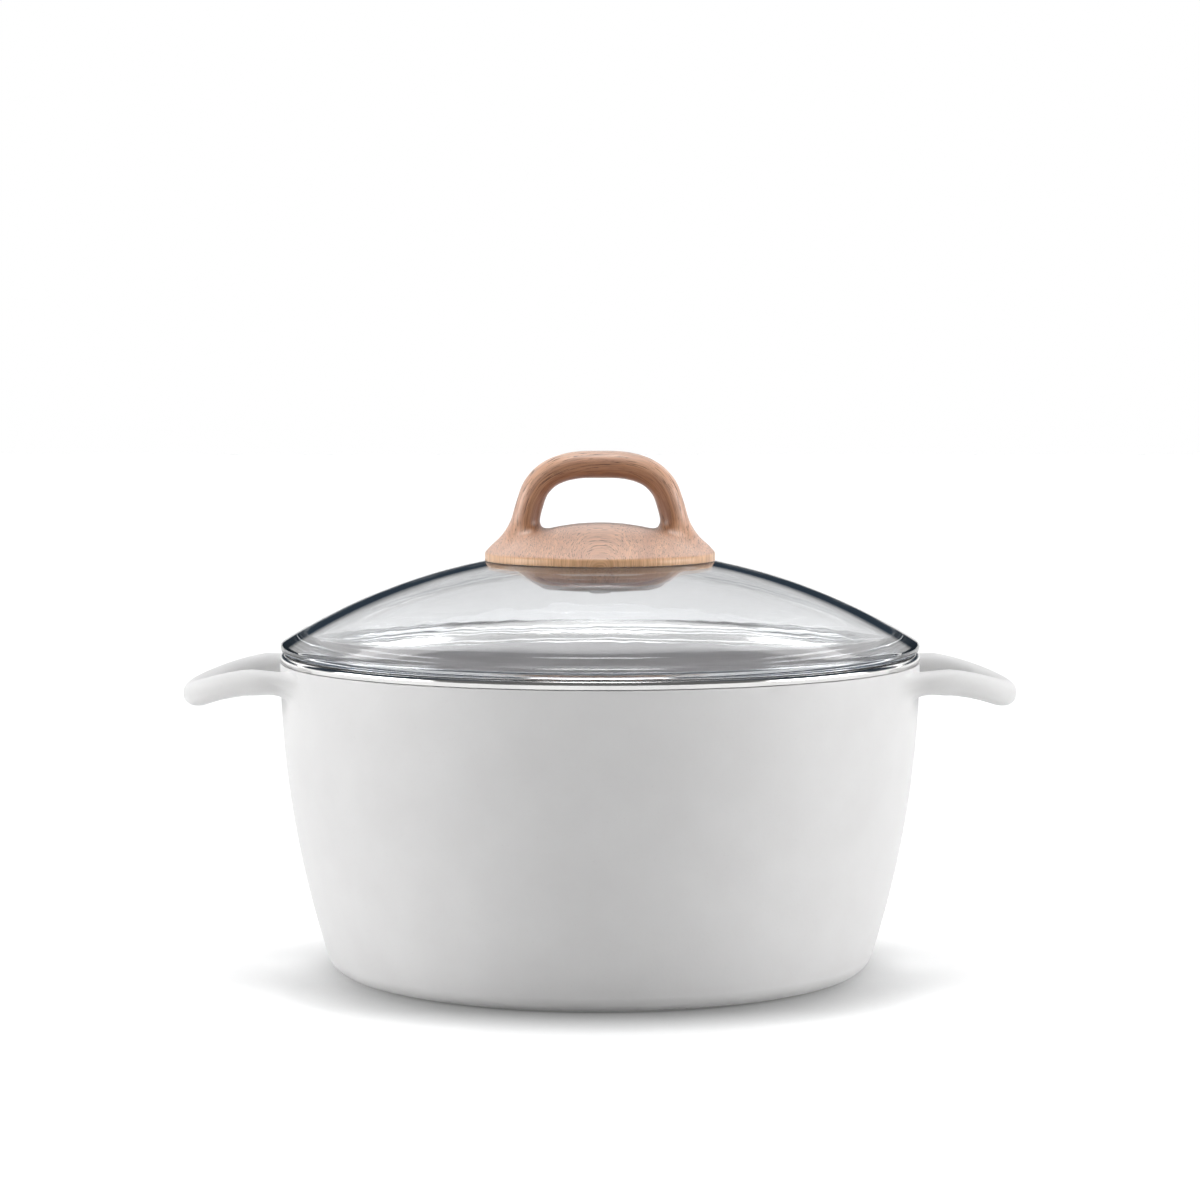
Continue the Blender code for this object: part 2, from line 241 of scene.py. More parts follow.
class Nodes:
    """A short way to write a material's node tree."""

    def __init__(self, name):
        self.material = bpy.data.materials.new(name)
        self.material.use_nodes = True
        self.tree = self.material.node_tree
        self.shader = self.tree.nodes["Principled BSDF"]
        self.output = self.tree.nodes["Material Output"]

    def add(self, kind, **settings):
        node = self.tree.nodes.new("ShaderNode" + kind)
        for key, value in settings.items():
            setattr(node, key, value)
        return node

    def link(self, source, target):
        self.tree.links.new(source, target)

    def math(self, operation, *values):
        node = self.add("Math", operation=operation)
        for i, value in enumerate(values):
            if isinstance(value, (int, float)):
                node.inputs[i].default_value = value
            else:
                self.link(value, node.inputs[i])
        return node.outputs[0]

    def place(self):
        """Position in metres on the piece at rest, split into X, Y and Z."""
        coords = self.add("TexCoord")
        split = self.add("SeparateXYZ")
        self.link(coords.outputs["Object"], split.inputs[0])
        return coords.outputs["Object"], split.outputs

    def join(self, x, y, z):
        node = self.add("CombineXYZ")
        for socket, value in zip(node.inputs, (x, y, z)):
            if isinstance(value, (int, float)):
                socket.default_value = value
            else:
                self.link(value, socket)
        return node.outputs[0]

    def noise(self, vector, scale, detail=3.0, roughness=0.5, distortion=0.0):
        node = self.add("TexNoise")
        self.link(vector, node.inputs["Vector"])
        node.inputs["Scale"].default_value = scale
        node.inputs["Detail"].default_value = detail
        node.inputs["Roughness"].default_value = roughness
        node.inputs["Distortion"].default_value = distortion
        return node.outputs["Fac"]

    def remap(self, value, low, high, to_low, to_high):
        node = self.add("MapRange")
        self.link(value, node.inputs["Value"])
        for key, number in (("From Min", low), ("From Max", high), ("To Min", to_low), ("To Max", to_high)):
            node.inputs[key].default_value = number
        return node.outputs["Result"]

    def blend(self, factor, a, b, blend_type="MIX"):
        """Mixes two colours, each a tuple or a socket."""
        node = self.add("Mix", data_type="RGBA", blend_type=blend_type)
        for socket, value in ((node.inputs[0], factor), (node.inputs[6], a), (node.inputs[7], b)):
            if isinstance(value, (int, float)):
                socket.default_value = value
            elif isinstance(value, tuple):
                socket.default_value = (*value, 1.0)
            else:
                self.link(value, socket)
        return node.outputs[2]

    def bump(self, height, distance, strength=1.0, normal=None):
        node = self.add("Bump")
        self.link(height, node.inputs["Height"])
        node.inputs["Distance"].default_value = distance
        node.inputs["Strength"].default_value = strength
        if normal is not None:
            self.link(normal, node.inputs["Normal"])
        return node.outputs["Normal"]

    def feed(self, **sockets):
        """Links or sets the shader's own sockets; underscores stand for spaces."""
        for key, value in sockets.items():
            socket = self.shader.inputs[key.replace("_", " ")]
            if isinstance(value, (int, float)):
                socket.default_value = value
            elif isinstance(value, tuple):
                socket.default_value = (*value, 1.0)
            else:
                self.link(value, socket)
        return self.material


# ---- materials ----

def ceramic_coat(name, low_tone, high_tone, speck_tone):
    """Satin coat: faint mottling, and the fine pebbling that a sprayed coat has."""
    n = Nodes(name)
    place, _ = n.place()
    cloud = n.noise(place, 45.0, detail=4.0)
    speck = n.noise(place, 1300.0, detail=2.0)
    pebble = n.noise(place, 620.0, detail=3.0, roughness=0.6)
    tone = n.blend(n.remap(cloud, 0.3, 0.7, 0.0, 1.0), low_tone, high_tone)
    colour = n.blend(n.remap(speck, 0.66, 0.78, 0.0, 0.25), tone, speck_tone)
    rough = n.remap(cloud, 0.3, 0.7, 0.42, 0.52)
    swell = n.bump(cloud, 0.0004, 0.35)
    return n.feed(Base_Color=colour, Roughness=rough, IOR=1.45, Specular_IOR_Level=0.25,
                  Normal=n.bump(pebble, 0.00006, 0.5, swell))


def machined_metal(name, colour, roughness, lines_per_m, depth):
    """Metal turned on a lathe: fine rings round Z, with uneven gloss along them."""
    n = Nodes(name)
    place, (x, y, z) = n.place()
    radius = n.math("SQRT", n.math("ADD", n.math("MULTIPLY", x, x), n.math("MULTIPLY", y, y)))
    rings = n.noise(n.join(radius, z, 0.0), lines_per_m, detail=2.0)
    cloud = n.noise(place, 60.0, detail=3.0)
    darker = tuple(c * 0.86 for c in colour)
    tone = n.blend(n.remap(cloud, 0.3, 0.7, 0.0, 1.0), colour, darker)
    rough = n.remap(cloud, 0.3, 0.7, roughness * 0.8, roughness * 1.3)
    return n.feed(Base_Color=tone, Metallic=1.0, Roughness=rough, Normal=n.bump(rings, depth, 0.6))


def silicone():
    n = Nodes("silicone")
    place, _ = n.place()
    cloud = n.noise(place, 300.0, detail=3.0)
    tone = n.blend(n.remap(cloud, 0.3, 0.7, 0.0, 1.0), (0.62, 0.62, 0.60), (0.74, 0.74, 0.72))
    return n.feed(Base_Color=tone, Roughness=0.55, Subsurface_Weight=0.2,
                  Normal=n.bump(cloud, 0.00005, 0.4))


def clear_glass():
    """Pressed glass, clear through its thickness and blue-green along it."""
    n = Nodes("clear_glass")
    place, _ = n.place()
    ripple = n.noise(place, 36.0, detail=2.0)
    n.feed(Base_Color=(1.0, 1.0, 1.0), Roughness=0.0, IOR=1.5, Transmission_Weight=1.0,
           Normal=n.bump(ripple, 0.0003, 0.13))
    absorb = n.add("VolumeAbsorption")
    absorb.inputs["Color"].default_value = (0.45, 0.60, 0.76, 1.0)
    absorb.inputs["Density"].default_value = 10.0
    n.link(absorb.outputs[0], n.output.inputs["Volume"])
    path = n.add("LightPath")
    clear = n.add("BsdfTransparent")
    clear.inputs["Color"].default_value = (0.95, 0.97, 0.97, 1.0)
    pick = n.add("MixShader")
    n.link(path.outputs["Is Shadow Ray"], pick.inputs[0])
    n.link(n.shader.outputs[0], pick.inputs[1])
    n.link(clear.outputs[0], pick.inputs[2])
    n.link(pick.outputs[0], n.output.inputs["Surface"])
    return n.material


def growth_ring(n, x, z):
    """Growth ring of a point: 1 along the middle of the loop, less inside it."""
    side = n.math("POWER", n.math("ABSOLUTE", n.math("DIVIDE", x, GRAIN_HALF[0])), GRAIN_POWER)
    height = n.math("SUBTRACT", z, GRAIN_CENTRE_Z)
    up = n.math("MAXIMUM", n.math("DIVIDE", height, GRAIN_HALF[1]), 0.0)
    total = n.math("ADD", side, n.math("POWER", up, GRAIN_POWER))
    return n.math("POWER", n.math("ADD", total, 1e-6), 1 / GRAIN_POWER)


def edge_band(n, x, y, z):
    """Where the plain band round the foot's edge is."""
    radius = n.math("SQRT", n.math("ADD", n.math("MULTIPLY", x, x), n.math("MULTIPLY", y, y)))
    at_rim = n.remap(radius, FOOT_R - 0.0012, FOOT_R - 0.0003, 0.0, 0.9)
    below_crown = n.remap(z, FOOT_EDGE_Z - 0.0004, FOOT_EDGE_Z + 0.0006, 1.0, 0.0)
    return n.math("MULTIPLY", at_rim, below_crown)


def beech():
    """Beech whose growth rings follow the loop, with painted shade along the loop's inner side and a painted
    highlight over the rest.
    """
    n = Nodes("beech")
    growth_tones = (0.52, 0.225, 0.095), (0.72, 0.375, 0.185)
    band_tones = (0.86, 0.52, 0.27), (0.64, 0.34, 0.16)
    line_tone, pore_tone = (0.31, 0.120, 0.046), (0.11, 0.040, 0.018)
    # painted highlight tone (pale pink) for the lit top and outside, and painted shade tone (dark) for the
    # shaded inner side of the loop
    painted_highlight_tone, painted_shade_tone = (0.92, 0.64, 0.52), (0.20, 0.070, 0.030)
    place, (x, y, z) = n.place()
    warp = n.noise(place, 38.0, detail=2.0)
    shift = n.math("MULTIPLY", n.math("SUBTRACT", warp, 0.5), GRAIN_DRIFT)
    ring = growth_ring(n, x, z)
    # painted shade: mask of the loop's inner side, under the bar, where the colour is darkened to stand in
    # for shade
    painted_shade_mask = n.math("MULTIPLY", n.remap(ring, 0.60, 0.74, 0.0, 1.0), n.remap(ring, 0.90, 1.06, 0.80, 0.0))
    painted_shade_mask = n.math("MULTIPLY", painted_shade_mask, n.remap(z, 0.169, 0.176, 0.0, 1.0))
    ring = n.math("ADD", ring, shift)
    turn = n.math("ARCTAN2", n.math("SUBTRACT", z, GRAIN_CENTRE_Z), x)
    way_round = n.math("MULTIPLY", turn, ring)

    def grain_noise(around, across, along, **settings):
        """Noise stretched by its own scale round the rings, across them and along the trunk."""
        vector = n.join(n.math("MULTIPLY", way_round, around), n.math("MULTIPLY", ring, across),
                        n.math("MULTIPLY", y, along))
        return n.noise(vector, 1.0, **settings)

    bands = grain_noise(0.5, 9.0, 18.0, detail=3.0)
    grain = grain_noise(2.2, 55.0, 300.0, detail=4.0, roughness=0.6)
    pores = grain_noise(5.0, 110.0, 480.0, detail=2.0, roughness=0.6)
    colour = n.blend(n.remap(bands, 0.34, 0.66, 0.0, 1.0), *growth_tones)
    colour = n.blend(n.remap(grain, 0.42, 0.60, 0.0, 0.75), colour, line_tone)
    # painted highlight: outside the loop's inner side the colour is lifted towards a pale pinkish tone,
    # standing in for light on the top and outside
    colour = n.blend(n.remap(painted_shade_mask, 0.0, 0.3, 0.34, 0.0), colour, painted_highlight_tone)
    # painted shade: darkens the colour along the loop's inner side
    colour = n.blend(painted_shade_mask, colour, painted_shade_tone)
    colour = n.blend(n.remap(pores, 0.59, 0.65, 0.0, 0.9), colour, pore_tone)
    band_colour = n.blend(n.remap(grain, 0.40, 0.60, 0.0, 1.0), *band_tones)
    colour = n.blend(edge_band(n, x, y, z), colour, band_colour)
    rough = n.remap(grain, 0.3, 0.7, 0.40, 0.55)
    relief = n.math("ADD", n.math("MULTIPLY", pores, -1.0), n.math("MULTIPLY", grain, -0.5))
    return n.feed(Base_Color=colour, Roughness=rough, IOR=1.5, Coat_Weight=0.5, Coat_Roughness=0.38,
                  Sheen_Weight=0.35, Sheen_Roughness=0.5, Sheen_Tint=(1.0, 0.92, 0.90),
                  Normal=n.bump(relief, 0.00012, 0.55))


def studio_floor():
    """White floor with a soft contact shadow, whose bounce is held down for the pot's shading."""
    n = Nodes("studio_floor")
    place, (_, y, _) = n.place()
    tooth = n.noise(place, 400.0, detail=2.0)
    tone = n.blend(n.remap(tooth, 0.3, 0.7, 0.0, 1.0), FLOOR_SEEN, tuple(c * 0.985 for c in FLOOR_SEEN))
    contact = n.add("AmbientOcclusion", samples=16)
    contact.inputs["Distance"].default_value = CONTACT_REACH
    in_front = n.remap(y, *CONTACT_Y, *CONTACT_DEPTH)
    shade = n.math("MULTIPLY", n.math("SUBTRACT", 1.0, contact.outputs["AO"]), in_front)
    shaded = n.blend(shade, tone, CONTACT_TONE)
    bounced = n.add("LightPath").outputs["Is Diffuse Ray"]
    lift = n.math("MULTIPLY", n.math("SUBTRACT", 1.0, bounced), FLOOR_LIFT)
    return n.feed(Base_Color=n.blend(bounced, shaded, FLOOR_BOUNCE), Roughness=0.9, Specular_IOR_Level=0.1,
                  Emission_Color=(1.0, 1.0, 1.0), Emission_Strength=lift)


# ---- pot ----

def wall_radius(z):
    """Outer radius of the pot's wall above its base corner."""
    depth = (RIM_Z - z) / (RIM_Z - CORNER_H)
    return RIM_R - WALL_DROP * max(depth, 0.0) ** WALL_POWER


def base_corner(steps=14):
    foot = wall_radius(CORNER_H) - CORNER_W
    points = []
    for i in range(steps + 1):
        angle = math.radians(90.0 * (1.0 - i / steps))
        out = max(math.cos(angle), 0.0) ** (2.0 / CORNER_POWER)
        down = max(math.sin(angle), 0.0) ** (2.0 / CORNER_POWER)
        points.append((foot + CORNER_W * out, CORNER_H * (1.0 - down)))
    return points


def coat_profile():
    """The coated casting, up to the bare band at the rim."""
    top = RIM_Z - LIP_H - LIP_GAP
    fillet_z = FLOOR_T + FLOOR_FILLET
    inner_foot = wall_radius(fillet_z) - WALL_T
    profile = [(0.0, RECESS_H), (RECESS_R - 0.0004, RECESS_H), (RECESS_R, RECESS_H)]
    profile += [(RECESS_R, RECESS_CHAMFER), (RECESS_R + RECESS_CHAMFER, 0.0), (RECESS_R + 0.0010, 0.0)]
    profile += base_corner()
    profile += [(wall_radius(z), z) for z in np.linspace(CORNER_H, top - COAT_SOFT, 49)[1:]]
    profile += arc((wall_radius(top) - COAT_SOFT, top - COAT_SOFT), COAT_SOFT, 15, 90, 4)
    profile += [(RIM_R - WALL_T + 0.0002, top), (RIM_R - WALL_T, top - 0.0002)]
    profile += [(wall_radius(z) - WALL_T, z) for z in np.linspace(top - 0.001, fillet_z, 30)]
    profile += arc((inner_foot - FLOOR_FILLET, fillet_z), FLOOR_FILLET, 0, -90, 12)[1:]
    profile += [(0.04, FLOOR_T), (0.0, FLOOR_T)]
    return profile


def lip_profile():
    """Bare polished band: flush with the wall outside, rounded on top."""
    low = RIM_Z - LIP_H
    half = WALL_T / 2
    profile = [(RIM_R - LIP_SOFT, low), (RIM_R - LIP_SOFT / 4, low + LIP_SOFT / 4), (RIM_R, low + LIP_SOFT)]
    profile += arc((RIM_R - half, RIM_Z - half), half, 0, 180, 24)
    profile += [(RIM_R - WALL_T, low + LIP_SOFT), (RIM_R - WALL_T + 0.75 * LIP_SOFT, low)]
    return profile


def ear_bar_ring(y, count):
    """Section of the ear's bar where its centre line passes y, on the +X side."""
    bow = (EAR_TIP_X - EAR_ROOT[0]) * (abs(y) / EAR_ROOT[1]) ** EAR_BOW_POWER
    x = EAR_TIP_X - bow
    tangent = Vector((-EAR_BOW_POWER * bow / y if y else 0.0, 1.0, 0.0)).normalized()
    across = Vector((tangent.y, -tangent.x, 0.0))
    centre = Vector((x, y, EAR_Z - EAR_SAG * (x - RIM_R) ** 2))
    ring = []
    for i in range(count):
        angle = math.tau * i / count
        out, up = [math.copysign(abs(v) ** (2.0 / EAR_SQUARE), v) for v in (math.cos(angle), math.sin(angle))]
        ring.append(centre + across * EAR_HALF_W * out + Vector((0, 0, EAR_HALF_H * up)))
    return ring, tangent


def on_wall(angle, z):
    """Point on the outside of the wall at this turn from X."""
    r = wall_radius(z)
    return Vector((r * math.cos(angle), r * math.sin(angle), z))


def ear_footprint(side, count):
    """Where the root meets the wall: an oval drawn on the wall, wider than the bar.

    Gives each point with the direction in the wall that leads out of the oval.
    """
    points, outward = [], []
    for i in range(count):
        angle = math.tau * i / count
        # the section's own sense: cos runs towards the pot on one side of the bow, away on the other
        along = side * -math.cos(angle) * EAR_FOOT_HALF_ROUND
        up = math.sin(angle) * EAR_FOOT_HALF_UP
        here = on_wall(side * EAR_FOOT_TURN - along / RIM_R, EAR_FOOT_Z + up)
        inner = on_wall(side * EAR_FOOT_TURN - 0.9 * along / RIM_R, EAR_FOOT_Z + 0.9 * up)
        points.append(here)
        outward.append((here - inner).normalized())
    return points, outward


def bezier(p0, p1, p2, p3, t):
    """Point at t on a cubic curve from p0 to p3."""
    s = 1.0 - t
    return p0 * s ** 3 + p1 * 3 * s * s * t + p2 * 3 * s * t * t + p3 * t ** 3


def ear_root_rings(side, count, steps=18):
    """Rings from the bar's end to the wall: level along the top, filleted into the wall below."""
    ring, tangent = ear_bar_ring(side * EAR_BLEND_Y, count)
    inward = tangent * side
    feet, outward = ear_footprint(side, count)
    rings = []
    for k in range(1, steps + 1):
        here = []
        for i in range(count):
            reach = (feet[i] - ring[i]).length
            level = float(smoothstep((math.sin(math.tau * i / count) - 0.1) / 0.7))
            settle = feet[i] - outward[i] * reach * mix(0.5, 0.12, level)
            here.append(bezier(ring[i], ring[i] + inward * reach * 0.5, settle, feet[i], k / steps))
        rings.append(here)
    rings.append([p - Vector((p.x, p.y, 0.0)).normalized() * 0.0008 for p in feet])
    return rings


def make_ear(side_x, count=64, steps=72):
    rings = []
    for i in range(steps + 1):
        y = EAR_BLEND_Y * (2.0 * i / steps - 1.0)
        rings.append(ear_bar_ring(y, count)[0])
    low = list(reversed(ear_root_rings(-1, count)))
    high = ear_root_rings(1, count)
    rings = low + rings + high
    flipped = [[Vector((side_x * p.x, p.y, p.z)) for p in ring] for ring in rings]
    return loft(flipped)


def make_pot():
    body = turned("pot_shell", coat_profile())
    coat = ceramic_coat("ceramic_coat", (0.795, 0.788, 0.785), (0.825, 0.820, 0.817), (0.66, 0.65, 0.64))
    body.data.materials.append(coat)
    body.data.materials.append(
        ceramic_coat("inner_coat", (0.53, 0.51, 0.51), (0.61, 0.59, 0.59), (0.34, 0.32, 0.32)))
    for face in body.data.polygons:
        x, y, z = face.center
        inside = z > FLOOR_T - 0.0001 and math.hypot(x, y) < wall_radius(z) - WALL_T / 2
        face.material_index = int(inside)
    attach(body, "pot")
    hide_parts("pot_body")
    for side, name in ((1, "ear_right"), (-1, "ear_left")):
        points, faces = make_ear(side)
        ear = mesh_object(name, points, faces, sharp_deg=40.0)
        face_out(ear)
        ear.data.materials.append(coat)
        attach(ear, "pot")
        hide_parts("pot_body")
    lip = turned("pot_lip", lip_profile(), closed=True)
    lip.data.materials.append(machined_metal("polished_lip", (0.80, 0.79, 0.78), 0.12, 2600.0, 0.00002))
    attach(lip, "pot")
    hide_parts("pot_body")


# ---- glass lid ----

def dome_z(r, radius):
    """Height of the dome's outer or inner sphere at r."""
    return DOME_TOP - DOME_R + np.sqrt(radius * radius - r * r)


def well_z(r, floor_z, span, radius):
    """Height of the glass where the dome sinks into the well."""
    return mix(floor_z, dome_z(r, radius), smoothstep((r - span[0]) / (span[1] - span[0])))


def lid_profile():
    top_r = list(np.linspace(*WELL_R, 28))
    top_r += list(np.linspace(WELL_R[1], FLANGE_EDGE_R, 44)[1:-1])
    low_r = list(np.linspace(SKIRT_TOP_R, WELL_LOW_R[1], 40))
    low_r += list(np.linspace(WELL_LOW_R[1], WELL_LOW_R[0], 28)[1:])
    slope = math.asin(FLANGE_EDGE_R / DOME_R)
    edge = (FLANGE_EDGE_R - FLANGE_R * math.sin(slope),
            dome_z(FLANGE_EDGE_R, DOME_R) - FLANGE_R * math.cos(slope))
    seat_z = edge[1] - FLANGE_R
    half = SKIRT_T / 2
    profile = [(GLASS_HOLE_R, WELL_TOP_Z - HOLE_CHAMFER), (GLASS_HOLE_R + HOLE_CHAMFER, WELL_TOP_Z)]
    profile += [(r, well_z(r, WELL_TOP_Z, WELL_R, DOME_R)) for r in top_r]
    profile += arc(edge, FLANGE_R, 90.0 - math.degrees(slope), -90.0, 20)
    profile += arc((SKIRT_R + SKIRT_CORNER, seat_z - SKIRT_CORNER), SKIRT_CORNER, 90.0, 180.0, 6)
    profile += arc((SKIRT_R - half, SKIRT_Z + half), half, 0.0, -180.0, 16)
    profile += inner_shoulder(seat_z)
    profile += [(r, well_z(r, WELL_LOW_Z, WELL_LOW_R, DOME_R - GLASS_T)) for r in low_r]
    profile += [(COUNTERBORE_R, WELL_LOW_Z), (COUNTERBORE_R, WELL_LOW_Z + COUNTERBORE_H)]
    profile.append((GLASS_HOLE_R, WELL_LOW_Z + COUNTERBORE_H))
    return profile


def inner_shoulder(seat_z, steps=10):
    """Curve from the skirt's inner face up into the inside of the dome."""
    start = Vector((SKIRT_R - SKIRT_T, seat_z - SHOULDER_DROP, 0.0))
    end = Vector((SKIRT_TOP_R, float(dome_z(SKIRT_TOP_R, DOME_R - GLASS_T)), 0.0))
    slope = SKIRT_TOP_R / (DOME_R - GLASS_T)
    out = Vector((1.0, -slope, 0.0)).normalized()
    pulls = start + Vector((0, SHOULDER_PULL[0], 0)), end + out * SHOULDER_PULL[1]
    curve = [bezier(start, *pulls, end, i / steps) for i in range(steps)]
    return [(p.x, p.y) for p in curve]


def make_glass():
    lid = turned("lid_glass", lid_profile(), closed=True)
    lid.data.materials.append(clear_glass())
    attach(lid, "lid")
    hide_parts("glass_lid")


# ---- wooden handle ----

def loop_path():
    """Half of the loop's centre line: x, z, half thickness in XZ, half depth along Y."""
    top = LOOP_TOP - BAR_HALF_T
    return np.array([
        (0.0000, top, BAR_HALF_T, BAR_HALF_DEPTH),
        (0.0105, top - 0.0005, BAR_HALF_T, BAR_HALF_DEPTH),
        (0.0190, top - 0.0033, BAR_HALF_T, BAR_HALF_DEPTH),
        (0.0247, top - 0.0086, BAR_HALF_T, BAR_HALF_DEPTH),
        (0.0275, top - 0.0155, BAR_HALF_T, BAR_HALF_DEPTH),
        (0.0296, top - 0.0235, 0.0056, 0.0078),
        (0.0318, top - 0.0300, 0.0068, 0.0100),
        (0.0335, top - 0.0350, 0.0085, 0.0130),
    ])


def dense_path(knots, steps=24):
    """Catmull-Rom curve through the knots of the whole loop."""
    mirrored = knots[:0:-1].copy()
    mirrored[:, 0] *= -1.0
    whole = np.vstack([mirrored, knots])
    padded = np.vstack([2 * whole[0] - whole[1], whole, 2 * whole[-1] - whole[-2]])
    t = np.linspace(0.0, 1.0, steps, endpoint=False)[:, None]
    pieces = []
    for a, b, c, d in zip(padded, padded[1:], padded[2:], padded[3:]):
        pieces.append(0.5 * (2 * b + (c - a) * t + (2 * a - 5 * b + 4 * c - d) * t ** 2
                             + (3 * b - a - 3 * c + d) * t ** 3))
    return np.vstack(pieces + [whole[-1:]])


def soft_max(a, b, k):
    return 0.5 * (a + b + np.sqrt((a - b) ** 2 + k * k))


def soft_min(a, b, k):
    """Smooth union with a fillet of about k."""
    h = np.clip(0.5 + 0.5 * (b - a) / k, 0.0, 1.0)
    return b + (a - b) * h - k * h * (1.0 - h)


def bar_section(x, z, path):
    """Distance in XZ to the loop's centre line, and the bar's half sizes at the nearest point."""
    flat = np.stack([x.ravel(), z.ravel()], axis=1)
    nearest = np.empty(len(flat), int)
    for start in range(0, len(flat), 20000):
        part = flat[start:start + 20000]
        gaps = ((part[:, None, :] - path[None, :, :2]) ** 2).sum(2)
        nearest[start:start + 20000] = gaps.argmin(1)
    here = path[nearest]
    off = np.sqrt(((flat - here[:, :2]) ** 2).sum(1))
    return [values.reshape(x.shape) for values in (off, here[:, 2], here[:, 3])]


def bar_field(section, y, power=2.3):
    """Distance-like field of the loop's bar, whose section is a squarish oval."""
    off, half_t, half_d = section
    ratio = ((off / half_t) ** power + (np.abs(y) / half_d) ** power) ** (1.0 / power)
    return (ratio - 1.0) * np.minimum(half_t, half_d)


def foot_field(r, z):
    """The round foot: crowned above, a plain band round the edge, hollowed to fit the glass."""
    crown = FOOT_EDGE_Z + (FOOT_TOP - FOOT_EDGE_Z) * (1.0 - (r / FOOT_R) ** 2)
    under = np.maximum(well_z(np.minimum(r, 0.1), WELL_TOP_Z, WELL_R, DOME_R) + FOOT_LIFT, FOOT_BOTTOM)
    slope = 2.0 * (FOOT_TOP - FOOT_EDGE_Z) * r / FOOT_R ** 2
    above = (z - crown) / np.sqrt(1.0 + slope ** 2)
    solid = soft_max(above, r - FOOT_R + 0.0001, 0.0006)
    return soft_max(solid, (under - z) * 0.9, 0.0003)


def handle_field(x, y, z, section):
    """The whole handle: the loop grown out of the foot, with the bore for the insert."""
    r = np.sqrt(x * x + y * y)
    whole = soft_min(bar_field(section, y), foot_field(r, z), 0.0055)
    under = well_z(np.minimum(r, 0.1), WELL_TOP_Z, WELL_R, DOME_R) + FOOT_LIFT
    whole = np.maximum(whole, np.maximum(under, FOOT_BOTTOM) - z)
    whole = np.maximum(whole, r - FOOT_R)
    bore = np.maximum(r - INSERT_BORE_R, z - INSERT_BORE_TOP)
    return np.maximum(whole, -bore)


def surface_net(values, origin, step):
    """Quads on the zero level of a grid of values, one vertex in each cell that it crosses."""
    inside = values < 0.0
    cells = tuple(n - 1 for n in values.shape)
    total = np.zeros(cells + (3,))
    hits = np.zeros(cells)
    grid = np.stack(np.meshgrid(*[np.arange(n) for n in values.shape], indexing="ij"), axis=-1).astype(float)
    crossings = []
    for axis in range(3):
        ahead = [slice(None)] * 3
        behind = [slice(None)] * 3
        ahead[axis] = slice(1, None)
        behind[axis] = slice(None, -1)
        a, b = values[tuple(behind)], values[tuple(ahead)]
        crossed = inside[tuple(behind)] != inside[tuple(ahead)]
        where = grid[tuple(behind)].copy()
        where[..., axis] += np.where(crossed, a / np.where(a == b, 1.0, a - b), 0.0)
        crossings.append((axis, crossed, inside[tuple(behind)]))
        u, v = (axis + 1) % 3, (axis + 2) % 3
        for du in (0, 1):
            for dv in (0, 1):
                pick = [slice(None)] * 3
                pick[u] = slice(du, du + cells[u])
                pick[v] = slice(dv, dv + cells[v])
                mask = crossed[tuple(pick)]
                total[mask] += where[tuple(pick)][mask]
                hits[mask] += 1
    used = hits > 0
    index = -np.ones(cells, int)
    index[used] = np.arange(used.sum())
    points = total[used] / hits[used][:, None] * step + origin
    faces = []
    for axis, crossed, starts_inside in crossings:
        u, v = (axis + 1) % 3, (axis + 2) % 3
        spots = np.argwhere(crossed)
        keep = (spots[:, u] > 0) & (spots[:, v] > 0) & (spots[:, u] < cells[u]) & (spots[:, v] < cells[v])
        spots = spots[keep]
        corners = []
        for du, dv in ((-1, -1), (0, -1), (0, 0), (-1, 0)):
            cell = spots.copy()
            cell[:, u] += du
            cell[:, v] += dv
            corners.append(index[tuple(cell.T)])
        quads = np.stack(corners, axis=1)
        flip = ~starts_inside[tuple(spots.T)]
        quads[flip] = quads[flip][:, ::-1]
        faces.append(quads)
    return points, np.vstack(faces)


def snap_to_surface(points, field, rounds=3, nudge=0.00005):
    """Moves points along the field's slope onto its zero level."""
    for _ in range(rounds):
        value = field(*points.T)
        slope = np.stack([
            field(*(points + nudge * np.eye(3)[axis]).T) - field(*(points - nudge * np.eye(3)[axis]).T)
            for axis in range(3)], axis=1) / (2 * nudge)
        size = np.maximum((slope ** 2).sum(1), 0.05)
        step = value / size
        points = points - slope * np.clip(step, -0.0006, 0.0006)[:, None]
    return points


def make_handle(step=0.0007):
    path = dense_path(loop_path())
    low = np.array([-FOOT_R - 0.002, -FOOT_R - 0.002, FOOT_BOTTOM - 0.002])
    high = np.array([FOOT_R + 0.002, FOOT_R + 0.002, LOOP_TOP + 0.002])
    axes = [np.arange(low[i], high[i] + step, step) for i in range(3)]
    x2, z2 = np.meshgrid(axes[0], axes[2], indexing="ij")
    section = bar_section(x2, z2, path)
    values = np.empty([len(a) for a in axes])
    for j, y in enumerate(axes[1]):
        values[:, j, :] = handle_field(x2, y, z2, section)
    points, faces = surface_net(values, low, step)

    def field(x, y, z):
        return handle_field(x, y, z, bar_section(x, z, path))

    points = snap_to_surface(points, field)
    handle = mesh_object("wood_handle", points, faces.tolist(), sharp_deg=50.0)
    face_out(handle)
    handle.data.materials.append(beech())
    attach(handle, "lid")
    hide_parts("lid_handle")


# ---- small pieces that keep their frame shape ----

def dress(node, material):
    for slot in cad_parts[node].material_slots:
        slot.material = material


def dress_small_pieces():
    steel = machined_metal("satin_stainless", (0.60, 0.59, 0.58), 0.30, 3000.0, 0.00002)
    rubber = silicone()
    dress("induction_plate", machined_metal("base_steel", (0.50, 0.50, 0.50), 0.34, 1500.0, 0.00003))
    dress("threaded_insert", machined_metal("insert_brass", (0.78, 0.57, 0.28), 0.30, 3000.0, 0.00003))
    dress("handle_gasket", rubber)
    dress("screw_grommet", rubber)
    dress("screw_washer", steel)
    dress("lid_screw", steel)


# ---- studio ----

def make_floor():
    floor = mesh_object("studio_floor", [(-6, -6, 0), (6, -6, 0), (6, 6, 0), (-6, 6, 0)], [[0, 1, 2, 3]])
    floor.location.z = -0.0002
    floor.data.materials.append(studio_floor())


